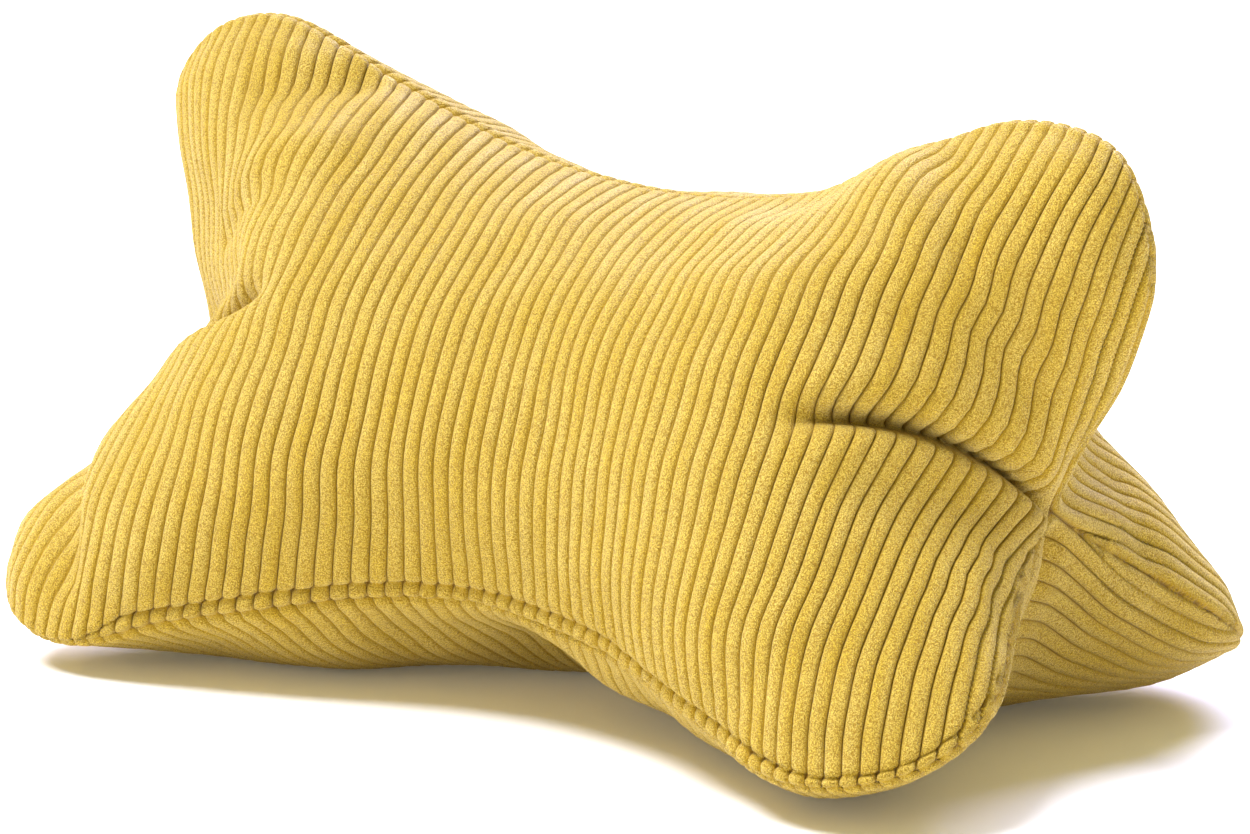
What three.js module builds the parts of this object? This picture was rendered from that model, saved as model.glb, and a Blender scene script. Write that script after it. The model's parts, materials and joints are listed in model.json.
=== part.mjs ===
// Neck pillow: three bone-shaped panels of wide-wale cord, sewn edge to edge and stuffed firm.
// Millimetres, +Z up. X runs along the pillow, the front panel faces -Y and up,
// and the bottom panel rests on the plane Z = 0. The origin is under the middle of the pillow.
import * as THREE from 'three';

// One panel, cut flat
const panelLength = 430;
const panelWidth = 279; // across the two lobes of an end
const waistWidth = 175;
const notchDepth = 9.5; // dip between the two lobes of an end
const lobeRadius = 56;

// The cord: wales run across the panel
const walesToNotch = 35; // from the middle of the panel to a notch
const waleHeight = 1.8; // crest above groove
const clothColour = 0xd8b440;
const clothRoughness = 0.92;

// Sewn and stuffed
const clothStiffness = 6; // N/mm, along a thread
const slackStiffness = 0.13; // share of it that is left when the cloth is pushed together
const bendStiffness = 0.1;
const stuffingPressure = 0.007; // N/mm2
const weightPerArea = 0.0002; // N/mm2
const floorBelowMiddle = 80; // the floor before the pillow settles on it
const seatDepth = 2.6; // how far the wales are pressed flat where the pillow rests

// Closing seam along the front of the bottom: a narrow lip with a stitched channel beside it
const lipHeight = 1.6;
const channelDepth = 1.5;
const channelRow = 0.94; // share of the way from the middle of the panel to its seam

// Folds pulled into the cloth, in the flat panel's own millimetres
const folds = [
  { panel: 'front', fromX: 205, fromY: 2, toX: 119, toY: 2, width: 14, depth: 7 },
  { panel: 'front', fromX: -205, fromY: 0, toX: -98, toY: 3, width: 14, depth: 7 },
  { panel: 'front', fromX: 112, fromY: 118, toX: 160, toY: 64, width: 15, depth: 3 },
  { panel: 'front', fromX: -140, fromY: 100, toX: -96, toY: 92, width: 15, depth: 2.5 },
  { panel: 'front', fromX: -140, fromY: 58, toX: -100, toY: 42, width: 15, depth: 2.5 },
  { panel: 'back', fromX: 205, fromY: -2, toX: 140, toY: -10, width: 15, depth: 6 },
  { panel: 'back', fromX: -205, fromY: -2, toX: -130, toY: 8, width: 15, depth: 7 },
  { panel: 'bottom', fromX: 205, fromY: 0, toX: 165, toY: 6, width: 14, depth: 5 },
  { panel: 'bottom', fromX: -205, fromY: 0, toX: -168, toY: -5, width: 14, depth: 5 },
];

// Panels in order round the pillow, with the direction that each one faces
const panels = [
  { name: 'front', facing: THREE.MathUtils.degToRad(150) },
  { name: 'back', facing: THREE.MathUtils.degToRad(30) },
  { name: 'bottom', facing: THREE.MathUtils.degToRad(270) },
];
const closingSeam = 2; // seam n joins panel n to the next one round

const halfLength = panelLength / 2;
const notchX = halfLength - notchDepth;
const outline = boneOutline();

// The outline in one quarter of the panel: lobe arcs, joined by a waist arc and a notch arc
function boneOutline() {
  const lobeX = halfLength - lobeRadius;
  const lobeY = panelWidth / 2 - lobeRadius;
  const waistRise = waistWidth / 2 - lobeY;
  const waistRadius = (lobeX ** 2 + waistRise ** 2 - lobeRadius ** 2) / (2 * (lobeRadius - waistRise));
  const waistCentre = waistWidth / 2 + waistRadius;
  const notchReach = notchX - lobeX;
  const notchRadius = (notchReach ** 2 + lobeY ** 2 - lobeRadius ** 2) / (2 * (lobeRadius - notchReach));
  const notchCentre = notchX + notchRadius;
  const waistEnd = (lobeX * waistRadius) / (waistRadius + lobeRadius);
  const notchEnd = notchCentre + ((lobeX - notchCentre) * notchRadius) / (notchRadius + lobeRadius);
  const lobeHalfChord = (x) => Math.sqrt(Math.max(0, lobeRadius ** 2 - (x - lobeX) ** 2));
  return {
    tipY: lobeY,
    outer(x) {
      const reach = Math.abs(x);
      if (reach < waistEnd) return waistCentre - Math.sqrt(waistRadius ** 2 - reach ** 2);
      return lobeY + lobeHalfChord(reach);
    },
    inner(x) {
      const reach = Math.abs(x);
      if (reach <= notchX) return 0;
      if (reach < notchEnd) return Math.sqrt(Math.max(0, notchRadius ** 2 - (reach - notchCentre) ** 2));
      return lobeY - lobeHalfChord(reach);
    },
  };
}

// Mirror a list of columns from the middle outwards, so that it runs from end to end
function mirrored(columns) {
  return [...columns.slice(1).reverse().map((x) => -x), ...columns];
}

// Three panels on one grid of columns and rows, with the points along their seams shared.
// A row is the share of the way from the panel's middle, or the notch's edge, to the outer seam.
function sewPanels(columns, rows) {
  const ids = new Map();
  const points = [];
  const nearly = 1e-6;
  const lastRow = rows.length - 1;

  function addPoint(panel, column, side, row) {
    const x = columns[column];
    const beyondNotch = Math.abs(x) > notchX + nearly;
    const atNotch = !beyondNotch && Math.abs(x) > notchX - nearly;
    const atTip = Math.abs(x) > halfLength - nearly;
    const seam = side > 0 ? panel : (panel + 2) % 3;
    let key = `cloth ${panel} ${column} ${side * row}`;
    if (atTip) key = `tip ${seam} ${column}`;
    else if (row === lastRow) key = `seam ${seam} ${column}`;
    else if (row === 0 && beyondNotch) key = `end ${seam} ${column}`;
    else if (row === 0 && atNotch) key = `notch ${column}`;
    const inner = outline.inner(x);
    const y = atTip ? side * outline.tipY : side * (inner + (outline.outer(x) - inner) * rows[row]);
    if (!ids.has(key)) {
      ids.set(key, points.length);
      points.push({ places: [] });
    }
    const id = ids.get(key);
    points[id].places.push({ panel, column, side, row, x, y });
    return { id, x, y, panel, column, side, row };
  }

  const grid = panels.map((unused, panel) =>
    columns.map((x, column) => ({
      1: rows.map((share, row) => addPoint(panel, column, 1, row)),
      '-1': rows.map((share, row) => addPoint(panel, column, -1, row)),
    })),
  );

  const triangles = [];
  const cells = [];
  grid.forEach((panelGrid) => {
    for (let column = 0; column < columns.length - 1; column += 1) {
      for (const side of [1, -1]) {
        for (let row = 0; row < lastRow; row += 1) {
          const a = panelGrid[column][side][row];
          const b = panelGrid[column + 1][side][row];
          const c = panelGrid[column + 1][side][row + 1];
          const d = panelGrid[column][side][row + 1];
          cells.push([a, b, c, d]);
          const loop = side > 0 ? [a, b, c, d] : [a, d, c, b];
          const halves = (column + row) % 2 ? [[0, 1, 3], [1, 2, 3]] : [[0, 1, 2], [0, 2, 3]];
          for (const half of halves) {
            const corners = half.map((corner) => loop[corner]);
            if (new Set(corners.map((corner) => corner.id)).size === 3) triangles.push(corners);
          }
        }
      }
    }
  });
  return { columns, rows, points, grid, triangles, cells };
}

// Threads that resist stretching: the four sides and the two diagonals of every cell
function threadsOf(shell, spacing) {
  const threads = new Map();
  for (const [a, b, c, d] of shell.cells) {
    for (const [from, to, share] of [[a, b, 1], [a, d, 1], [b, c, 1], [d, c, 1], [a, c, 0.5], [b, d, 0.5]]) {
      const length = Math.hypot(from.x - to.x, from.y - to.y);
      if (from.id === to.id || length < 1e-6) continue;
      const key = `${Math.min(from.id, to.id)} ${Math.max(from.id, to.id)} ${from.panel}`;
      threads.set(key, { from: from.id * 3, to: to.id * 3, length, stiffness: share * clothStiffness * spacing });
    }
  }
  return [...threads.values()];
}

// Runs of three points in a row that resist folding
function bendsOf(shell) {
  const bends = [];
  const columns = shell.columns.length;

  function addBend(before, middle, after) {
    const toBefore = Math.hypot(before.x - middle.x, before.y - middle.y);
    const toAfter = Math.hypot(after.x - middle.x, after.y - middle.y);
    if (new Set([before.id, middle.id, after.id]).size < 3 || toBefore < 1e-6 || toAfter < 1e-6) return;
    const beforeShare = toAfter / (toBefore + toAfter);
    const ids = [before.id * 3, middle.id * 3, after.id * 3];
    bends.push({ ids, beforeShare, afterShare: 1 - beforeShare });
  }

  for (const panelGrid of shell.grid) {
    for (let column = 0; column < columns; column += 1) {
      const upper = panelGrid[column][1];
      const lower = panelGrid[column][-1];
      const whole = Math.abs(shell.columns[column]) < notchX + 1e-6;
      const lines = whole ? [[...lower.slice(1).reverse(), ...upper]] : [upper, lower];
      for (const line of lines) {
        for (let i = 1; i < line.length - 1; i += 1) addBend(line[i - 1], line[i], line[i + 1]);
      }
    }
    for (const side of [1, -1]) {
      for (let row = 0; row < shell.rows.length - 1; row += 1) {
        for (let column = 1; column < columns - 1; column += 1) {
          const onMiddle = row === 0;
          const open = Math.abs(shell.columns[column]) > notchX - 1e-6;
          if (onMiddle && (side < 0 || open)) continue;
          addBend(...[column - 1, column, column + 1].map((at) => panelGrid[at][side][row]));
        }
      }
    }
  }
  return bends;
}

// The sewn panels before stuffing: a three-sided prism with the bone outline on each side
function prism(shell) {
  const apothem = waistWidth / 2 / Math.sqrt(3);
  const position = new Float64Array(shell.points.length * 3);
  shell.points.forEach(({ places }, id) => {
    for (const { panel, x, y } of places) {
      const { facing } = panels[panel];
      position[3 * id] += x / places.length;
      position[3 * id + 1] += (Math.cos(facing) * apothem + Math.sin(facing) * y) / places.length;
      position[3 * id + 2] += (Math.sin(facing) * apothem - Math.cos(facing) * y) / places.length;
    }
  });
  return position;
}

// Let the stuffing fill the sewn panels: pressure, thread forces, weight and the floor come to rest
function stuff(shell, spacing) {
  const rounds = 700;
  const longestMove = 3;
  const threads = threadsOf(shell, spacing);
  const bends = bendsOf(shell);
  const corners = shell.triangles.map((triangle) => triangle.map(({ id }) => id * 3));
  const position = prism(shell);
  const size = position.length;
  const force = new Float64Array(size);
  const speed = new Float64Array(size);
  const stiffness = new Float64Array(size / 3);
  const area = new Float64Array(size / 3);
  for (const { from, to, length, stiffness: pull } of threads) {
    stiffness[from / 3] += pull / length;
    stiffness[to / 3] += pull / length;
  }
  for (const [a, b, c] of shell.triangles) {
    const flat = Math.abs((b.x - a.x) * (c.y - a.y) - (c.x - a.x) * (b.y - a.y)) / 2;
    for (const { id } of [a, b, c]) area[id] += flat / 3;
  }

  function addThreadForces() {
    for (const { from, to, length, stiffness: pull } of threads) {
      const dx = position[to] - position[from];
      const dy = position[to + 1] - position[from + 1];
      const dz = position[to + 2] - position[from + 2];
      const now = Math.sqrt(dx * dx + dy * dy + dz * dz) + 1e-12;
      const stretch = (now - length) / length;
      const along = ((stretch > 0 ? 1 : slackStiffness) * pull * stretch) / now;
      force[from] += along * dx;
      force[from + 1] += along * dy;
      force[from + 2] += along * dz;
      force[to] -= along * dx;
      force[to + 1] -= along * dy;
      force[to + 2] -= along * dz;
    }
  }

  function addBendForces() {
    for (const { ids: [before, middle, after], beforeShare, afterShare } of bends) {
      for (let axis = 0; axis < 3; axis += 1) {
        const straight = beforeShare * position[before + axis] + afterShare * position[after + axis];
        const push = bendStiffness * clothStiffness * (straight - position[middle + axis]);
        force[middle + axis] += push;
        force[before + axis] -= beforeShare * push;
        force[after + axis] -= afterShare * push;
      }
    }
  }

  function addPressure() {
    for (const [a, b, c] of corners) {
      const ux = position[b] - position[a];
      const uy = position[b + 1] - position[a + 1];
      const uz = position[b + 2] - position[a + 2];
      const vx = position[c] - position[a];
      const vy = position[c + 1] - position[a + 1];
      const vz = position[c + 2] - position[a + 2];
      const push = [uy * vz - uz * vy, uz * vx - ux * vz, ux * vy - uy * vx];
      for (const corner of [a, b, c]) {
        for (let axis = 0; axis < 3; axis += 1) force[corner + axis] += (push[axis] * stuffingPressure) / 6;
      }
    }
  }

  function addWeightAndFloor() {
    for (let id = 0; id < area.length; id += 1) {
      const height = position[3 * id + 2] + floorBelowMiddle;
      force[3 * id + 2] -= weightPerArea * area[id];
      if (height < 0) force[3 * id + 2] -= stiffness[id] * height;
    }
  }

  // Damped steps: speed up while the cloth moves with the force, stop it when it swings back
  let timeStep = 0.1;
  let blend = 0.1;
  let downhill = 0;
  for (let round = 0; round < rounds; round += 1) {
    force.fill(0);
    addThreadForces();
    addBendForces();
    addPressure();
    addWeightAndFloor();
    let power = 0;
    let speedSquared = 0;
    let forceSquared = 0;
    for (let i = 0; i < size; i += 1) {
      force[i] /= stiffness[Math.floor(i / 3)];
      power += force[i] * speed[i];
      speedSquared += speed[i] ** 2;
      forceSquared += force[i] ** 2;
    }
    if (power > 0) {
      downhill += 1;
      const turn = Math.sqrt(speedSquared / (forceSquared + 1e-20));
      for (let i = 0; i < size; i += 1) speed[i] = (1 - blend) * speed[i] + blend * force[i] * turn;
      if (downhill > 5) {
        timeStep = Math.min(timeStep * 1.1, 1);
        blend *= 0.99;
      }
    } else {
      speed.fill(0);
      timeStep *= 0.5;
      blend = 0.1;
      downhill = 0;
    }
    for (let i = 0; i < size; i += 1) {
      speed[i] += timeStep * force[i];
      position[i] += THREE.MathUtils.clamp(timeStep * speed[i], -longestMove, longestMove);
    }
  }
  return position;
}

// Smooth curve through four numbers, between the two in the middle
function smooth(p0, p1, p2, p3, t) {
  const a = (p2 - p0) / 2;
  const b = p0 - 2.5 * p1 + 2 * p2 - p3 / 2;
  const c = (p3 - p0) / 2 + 1.5 * (p1 - p2);
  return p1 + t * (a + t * (b + t * c));
}

// Read the stuffed shell at any place of a panel
function placeReader(shell, position) {
  const { columns, rows, grid } = shell;
  const firstInner = columns.findIndex((x) => x > -notchX - 1e-6);
  const lastInner = columns.length - 1 - firstInner;
  const lastRow = rows.length - 1;

  function atNode(panel, column, side, row, axis) {
    const crossesMiddle = row < 0 && column >= firstInner && column <= lastInner;
    const node = crossesMiddle ? grid[panel][column][-side][-row] : grid[panel][column][side][Math.max(row, 0)];
    return position[3 * node.id + axis];
  }

  function alongRow(panel, side, row, column, t, axis) {
    const before = column === 0 || column === firstInner || column === lastInner ? column : column - 1;
    const endsHere = [firstInner, lastInner, columns.length - 1].includes(column + 1);
    const after = endsHere ? column + 1 : column + 2;
    const [p0, p1, p2, p3] = [before, column, column + 1, after].map((at) => atNode(panel, at, side, row, axis));
    const lead = before === column ? 2 * p1 - p2 : p0;
    const tail = after === column + 1 ? 2 * p2 - p1 : p3;
    return smooth(lead, p1, p2, tail, t);
  }

  return ({ panel, x, side, share }) => {
    const found = columns.findIndex((edge) => edge > x) - 1;
    const column = found < 0 ? columns.length - 2 : found;
    const t = (x - columns[column]) / (columns[column + 1] - columns[column]);
    const row = Math.min(Math.floor(share * lastRow), lastRow - 1);
    const s = share * lastRow - row;
    const open = column < firstInner || column >= lastInner;
    return [0, 1, 2].map((axis) => {
      const at = (wanted) => alongRow(panel, side, wanted, column, t, axis);
      const p1 = at(row);
      const p2 = at(row + 1);
      const p0 = row === 0 && open ? 2 * p1 - p2 : at(row - 1);
      const p3 = row === lastRow - 1 ? 2 * p2 - p1 : at(row + 2);
      return smooth(p0, p1, p2, p3, s);
    });
  };
}

// How deep the folds pull a place of the panel in
function foldDepth({ panel, x, y }) {
  let depth = 0;
  for (const fold of folds) {
    if (fold.panel !== panels[panel].name) continue;
    const from = new THREE.Vector2(fold.fromX, fold.fromY);
    const along = new THREE.Vector2(fold.toX, fold.toY).sub(from);
    const offset = new THREE.Vector2(x, y).sub(from);
    const t = THREE.MathUtils.clamp(offset.dot(along) / along.lengthSq(), 0, 1);
    const distance = offset.addScaledVector(along, -t).length();
    depth += fold.depth * (1 - 0.7 * t) * Math.exp(-((distance / fold.width) ** 2));
  }
  return depth;
}

// Height of the wales, the closing seam's lip and its channel at a point of the cloth
function relief(places, wale) {
  const { panel, side, share } = places[0];
  const seam = side > 0 ? panel : (panel + 2) % 3;
  const onClosingSeam = seam === closingSeam;
  let height = wale;
  if (onClosingSeam && share === 1) height += lipHeight;
  if (onClosingSeam && share === channelRow) height -= channelDepth;
  return height - Math.max(...places.map(foldDepth));
}

function buildPillow() {
  // Coarse shell, on which the stuffing works
  const spacing = 12;
  const innerCells = Math.round(notchX / spacing);
  const coarseColumns = [];
  for (let i = 0; i <= innerCells; i += 1) coarseColumns.push((notchX * i) / innerCells);
  const endCells = 3;
  for (let i = 1; i <= endCells; i += 1) {
    coarseColumns.push(notchX + notchDepth * (1 - (1 - i / endCells) ** 1.6));
  }
  const coarseRows = [0, 1, 2, 3, 4, 5, 6, 7].map((row) => row / 7);
  const coarse = sewPanels(mirrored(coarseColumns), coarseRows);
  const readPlace = placeReader(coarse, stuff(coarse, spacing));

  // Fine shell: one column on every crest and one in every groove
  const halfPitch = notchX / (2 * walesToNotch);
  const fineColumns = [];
  for (let x = 0; x < halfLength - halfPitch / 2; x += halfPitch) fineColumns.push(x);
  fineColumns[2 * walesToNotch] = notchX;
  const middleColumn = fineColumns.length;
  fineColumns.push(halfLength);
  const fine = sewPanels(mirrored(fineColumns), [0, 0.1, 0.3, 0.52, 0.75, channelRow, 1]);

  const base = new Float32Array(fine.points.length * 3);
  fine.points.forEach(({ places }, id) => {
    for (const place of places) place.share = fine.rows[place.row];
    base.set(readPlace(places[0]), 3 * id);
  });
  const geometry = new THREE.BufferGeometry();
  geometry.setAttribute('position', new THREE.BufferAttribute(base, 3));
  geometry.setIndex(fine.triangles.flatMap((triangle) => triangle.map(({ id }) => id)));
  geometry.computeVertexNormals();

  // Raise the wales and press in the folds along the cloth's own normals
  const { position, normal } = geometry.attributes;
  const point = new THREE.Vector3();
  const outward = new THREE.Vector3();
  fine.points.forEach(({ places }, id) => {
    const { column, x } = places[0];
    const onCrest = (column - middleColumn) % 2 === 0;
    const flat = Math.abs(x) > halfLength - 1e-6 || places.length > 4;
    const wale = flat ? 0 : (onCrest ? 0.5 : -0.5) * waleHeight;
    outward.fromBufferAttribute(normal, id);
    point.fromBufferAttribute(position, id).addScaledVector(outward, relief(places, wale));
    position.setXYZ(id, point.x, point.y, point.z);
  });

  // Set it down: the wales that touch are pressed flat on the plane Z = 0
  geometry.computeBoundingBox();
  const { min, max } = geometry.boundingBox;
  geometry.translate(-(min.x + max.x) / 2, -(min.y + max.y) / 2, -min.z - seatDepth);
  for (let id = 0; id < position.count; id += 1) position.setZ(id, Math.max(0, position.getZ(id)));
  geometry.computeVertexNormals();
  return geometry;
}

const cord = new THREE.MeshStandardMaterial({
  color: clothColour,
  roughness: clothRoughness,
  metalness: 0,
});
const pillow = new THREE.Mesh(buildPillow(), cord);
pillow.name = 'pillow';

const neckPillow = new THREE.Group();
neckPillow.add(pillow);
export default neckPillow;
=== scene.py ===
import json
import math

import bpy
import numpy as np
from mathutils import Matrix, Vector
from mathutils.geometry import delaunay_2d_cdt

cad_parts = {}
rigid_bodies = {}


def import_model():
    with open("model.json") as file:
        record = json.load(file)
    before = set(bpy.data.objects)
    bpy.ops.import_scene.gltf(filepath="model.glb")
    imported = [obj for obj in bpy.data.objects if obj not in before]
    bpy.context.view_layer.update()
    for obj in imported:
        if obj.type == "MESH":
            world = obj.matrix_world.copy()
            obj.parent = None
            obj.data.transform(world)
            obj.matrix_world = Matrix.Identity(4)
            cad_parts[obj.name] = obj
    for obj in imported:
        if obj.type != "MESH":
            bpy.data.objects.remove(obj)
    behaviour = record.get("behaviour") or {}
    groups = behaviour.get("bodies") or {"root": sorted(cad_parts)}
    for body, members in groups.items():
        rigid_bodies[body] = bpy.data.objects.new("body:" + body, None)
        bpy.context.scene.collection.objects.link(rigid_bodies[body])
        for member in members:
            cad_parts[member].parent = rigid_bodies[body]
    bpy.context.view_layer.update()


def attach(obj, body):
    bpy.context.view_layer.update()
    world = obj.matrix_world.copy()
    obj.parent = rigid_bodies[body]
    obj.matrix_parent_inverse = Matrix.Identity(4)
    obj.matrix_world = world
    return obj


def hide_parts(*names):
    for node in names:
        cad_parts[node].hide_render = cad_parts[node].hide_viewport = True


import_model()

# camera first: the angle, distance and lens that line the sewn form up with the photo, from a fit
camSet = {
    "azimuth": 33.53,
    "elevation": 12.53,
    "roll": 1.33,
    "distance": 1.817,
    "aim": (-0.0005, 0.0, 0.0970),
    "photoWidth": 1250,
    "lensPixels": 5044,
}


def addCamera():
    az = math.radians(camSet["azimuth"])
    el = math.radians(camSet["elevation"])
    back = Vector((math.sin(az) * math.cos(el), -math.cos(az) * math.cos(el), math.sin(el)))
    right = Vector((math.cos(az), math.sin(az), 0))
    turn = Matrix.Rotation(math.radians(camSet["roll"]), 3, back)
    right = turn @ right
    up = back.cross(right)
    data = bpy.data.cameras.new("photoCamera")
    camera = bpy.data.objects.new("photoCamera", data)
    bpy.context.scene.collection.objects.link(camera)
    place = Matrix.Translation(Vector(camSet["aim"]) + back * camSet["distance"])
    camera.matrix_world = place @ Matrix((right, up, back)).transposed().to_4x4()
    data.sensor_width = 36
    data.lens = camSet["lensPixels"] / camSet["photoWidth"] * data.sensor_width
    data.clip_end = 20
    bpy.context.scene.camera = camera


addCamera()
print("camera is set")

# the cut: one bone-shaped panel laid flat, three of them are sewn together (metres); its width,
# waist and lobe radius were fitted to the photo's outline and seams outside this script, and so
# were the filling's slack, bend, pressure and weight
cut = {
    "length": 0.430,
    "width": 0.2670,
    "waist": 0.1701,
    "notch": 0.0070,
    "notchPower": 2.0,
    "lobeRadius": 0.0593,
    "walesToNotch": 35.5,
    "straightWales": 34,  # the mesh runs straight along the wales as far as this one
    "facing": (150, 30, 270),  # front, back and bottom, in degrees from +Y towards +Z
}
halfLength = cut["length"] / 2
notchX = halfLength - cut["notch"]
lobeX = halfLength - cut["lobeRadius"]
lobeY = cut["width"] / 2 - cut["lobeRadius"]
pitch = notchX / cut["walesToNotch"]
tiny = 1e-9


def arcBetween(reach, rise, radius):
    # radius of the arc that meets the lobe's arc smoothly
    return (reach**2 + rise**2 - radius**2) / (2 * (radius - rise))


waistRadius = arcBetween(lobeX, cut["waist"] / 2 - lobeY, cut["lobeRadius"])
waistCentre = cut["waist"] / 2 + waistRadius
waistEnd = lobeX * waistRadius / (waistRadius + cut["lobeRadius"])


def endEdge(y):
    # how far out the panel's end lies at this height, between the notch and the tip of the lobe
    share = 0.5 + 0.5 * np.cos(math.pi * np.clip(y / lobeY, 0, 1))
    return halfLength - cut["notch"] * share ** cut["notchPower"]


def outerEdge(x):
    reach = np.abs(x)
    waist = waistCentre - np.sqrt(np.maximum(waistRadius**2 - reach**2, 0))
    lobe = lobeY + np.sqrt(np.maximum(cut["lobeRadius"] ** 2 - (reach - lobeX) ** 2, 0))
    return np.where(reach < waistEnd, waist, lobe)


def innerEdge(x):
    share = np.clip((halfLength - np.abs(x)) / cut["notch"], 0, 1) ** (1 / cut["notchPower"])
    return lobeY / math.pi * np.arccos(np.clip(2 * share - 1, -1, 1))


class Shell:
    # three panels on one grid of columns and rows; points along the seams are shared
    # index order everywhere: panel, side (0 upper, 1 lower), column, row
    def __init__(self, columns, shares):
        self.columns = columns
        count, rows = len(columns), len(shares)
        inner = innerEdge(columns)[:, None]
        height = inner + (outerEdge(columns)[:, None] - inner) * shares
        atTip = np.abs(columns) > halfLength - tiny
        height[atTip] = lobeY
        beyond = (np.abs(columns) > notchX + tiny) & ~atTip
        atNotch = np.abs(np.abs(columns) - notchX) <= tiny
        self.ids = np.zeros((3, 2, count, rows), int)
        names = {}
        for panel in range(3):
            for side in (0, 1):
                seam = panel if side == 0 else (panel + 2) % 3
                for column in range(count):
                    for row in range(rows):
                        name = ("cloth", panel, side if row else 0, column, row)
                        if atTip[column]:
                            name = ("tip", seam, column)
                        elif row == rows - 1:
                            name = ("seam", seam, column)
                        elif row == 0 and beyond[column]:
                            name = ("end", seam, column)
                        elif row == 0 and atNotch[column]:
                            name = ("notch", column)
                        self.ids[panel, side, column, row] = names.setdefault(name, len(names))
        self.size = len(names)
        self.x = np.broadcast_to(columns[:, None], (3, 2, count, rows))
        sign = np.array([1.0, -1.0])[None, :, None, None]
        self.y = np.broadcast_to(sign * height[None, None], (3, 2, count, rows))

    def cells(self):
        # corners a, b, c, d of every cell as flat positions in the grid
        where = np.arange(self.ids.size).reshape(self.ids.shape)
        a = where[:, :, :-1, :-1]
        b = where[:, :, 1:, :-1]
        c = where[:, :, 1:, 1:]
        d = where[:, :, :-1, 1:]
        return a, b, c, d


# stuffing: how the sewn panels fill out (newtons and metres)
filling = {
    "spacing": 0.012,
    "rows": 7,
    "clothStiffness": 6000.0,
    "slack": 0.0826,
    "bend": 0.1493,
    "pressure": 7870.0,
    "weight": 238.0,
    "floor": -0.080,
    "rounds": 450,
    "longestMove": 0.003,
}


def coarseShell():
    innerCells = round(notchX / filling["spacing"])
    inner = notchX * np.arange(innerCells + 1) / innerCells
    # three more columns past the notch, closer together towards the tips of the lobes
    end = notchX + cut["notch"] * (1 - (1 - np.arange(1, 4) / 3) ** 1.6)
    half = np.concatenate([inner, end])
    shares = np.arange(filling["rows"] + 1) / filling["rows"]
    return Shell(np.concatenate([-half[:0:-1], half]), shares)


def threadTable(found):
    table = np.array(list(found.values()))
    return table[:, 0].astype(int), table[:, 1].astype(int), table[:, 2], table[:, 3]


def shellThreads(shell):
    # every side of a cell once for each panel, and its two diagonals at half strength
    a, b, c, d = shell.cells()
    pairs = [(a, b, 1), (a, d, 1), (b, c, 1), (d, c, 1), (a, c, 0.5), (b, d, 0.5)]
    x, y, ids = shell.x.reshape(-1), shell.y.reshape(-1), shell.ids.reshape(-1)
    panel = np.repeat(np.arange(3), ids.size // 3)
    found = {}
    for start, end, share in pairs:
        start, end = start.reshape(-1), end.reshape(-1)
        length = np.hypot(x[start] - x[end], y[start] - y[end])
        for s, e, l in zip(start, end, length):
            i, j = ids[s], ids[e]
            if i != j and l > 1e-8:
                found[(min(i, j), max(i, j), panel[s])] = (i, j, l, share)
    return threadTable(found)


def foldLines(shell):
    # runs of three points that resist folding
    ids, x, y = shell.ids, shell.x, shell.y
    runs = []

    def addRun(places):
        ia, ib, ic = (ids[p] for p in places)
        if len({ia, ib, ic}) < 3:
            return
        before, middle, after = [np.array((x[p], y[p])) for p in places]
        la, lb = np.linalg.norm(before - middle), np.linalg.norm(after - middle)
        if la > 1e-8 and lb > 1e-8:
            runs.append((ia, ib, ic, lb / (la + lb)))

    count, rows = shell.columns.size, ids.shape[3]
    for panel in range(3):
        for column in range(count):
            upper = [(panel, 0, column, row) for row in range(rows)]
            lower = [(panel, 1, column, row) for row in range(rows)]
            whole = abs(shell.columns[column]) < notchX + tiny
            lines = [lower[:0:-1] + upper] if whole else [upper, lower]
            for line in lines:
                for i in range(1, len(line) - 1):
                    addRun(line[i - 1 : i + 2])
        for side in (0, 1):
            for row in range(rows - 1):
                for column in range(1, count - 1):
                    isOpen = abs(shell.columns[column]) > notchX - tiny
                    if row == 0 and (side == 1 or isOpen):
                        continue
                    addRun([(panel, side, at, row) for at in (column - 1, column, column + 1)])
    table = np.array(runs)
    return table[:, :3].astype(int), table[:, 3]


def shellTriangles(shell):
    # each cell as two triangles, split the other way in every second cell
    a, b, c, d = shell.cells()
    ids = shell.ids.reshape(-1)
    column = np.arange(a.shape[2])[:, None]
    row = np.arange(a.shape[3])[None, :]
    odd = np.broadcast_to((column + row) % 2 == 1, a.shape[2:])
    found = []
    for panel in range(3):
        for side in (0, 1):
            q = [k[panel, side] for k in ((a, b, c, d) if side == 0 else (a, d, c, b))]
            for choice, halves in ((odd, ((0, 1, 3), (1, 2, 3))), (~odd, ((0, 1, 2), (0, 2, 3)))):
                for half in halves:
                    found.append(np.stack([q[k][choice] for k in half], 1))
    places = np.concatenate(found)
    corners = ids[places]
    first, second, third = corners.T
    good = (first != second) & (second != third) & (first != third)
    return corners[good], places[good]


def prism(shell):
    # the start: the panels stand round a three-sided bar as wide as the waist
    apothem = cut["waist"] / 2 / math.sqrt(3)
    total = np.zeros((shell.size, 3))
    seen = np.zeros(shell.size)
    for panel, degrees in enumerate(cut["facing"]):
        facing = math.radians(degrees)
        ids = shell.ids[panel].reshape(-1)
        x, y = shell.x[panel].reshape(-1), shell.y[panel].reshape(-1)
        out, up = math.cos(facing), math.sin(facing)
        place = np.stack([x, out * apothem + up * y, up * apothem - out * y], 1)
        np.add.at(total, ids, place)
        np.add.at(seen, ids, 1)
    return total / seen[:, None]


def flatArea(shell, places):
    x, y = shell.x.reshape(-1)[places], shell.y.reshape(-1)[places]
    x1, x2 = x[:, 1] - x[:, 0], x[:, 2] - x[:, 0]
    y1, y2 = y[:, 1] - y[:, 0], y[:, 2] - y[:, 0]
    return np.abs(x1 * y2 - x2 * y1) / 2


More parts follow.
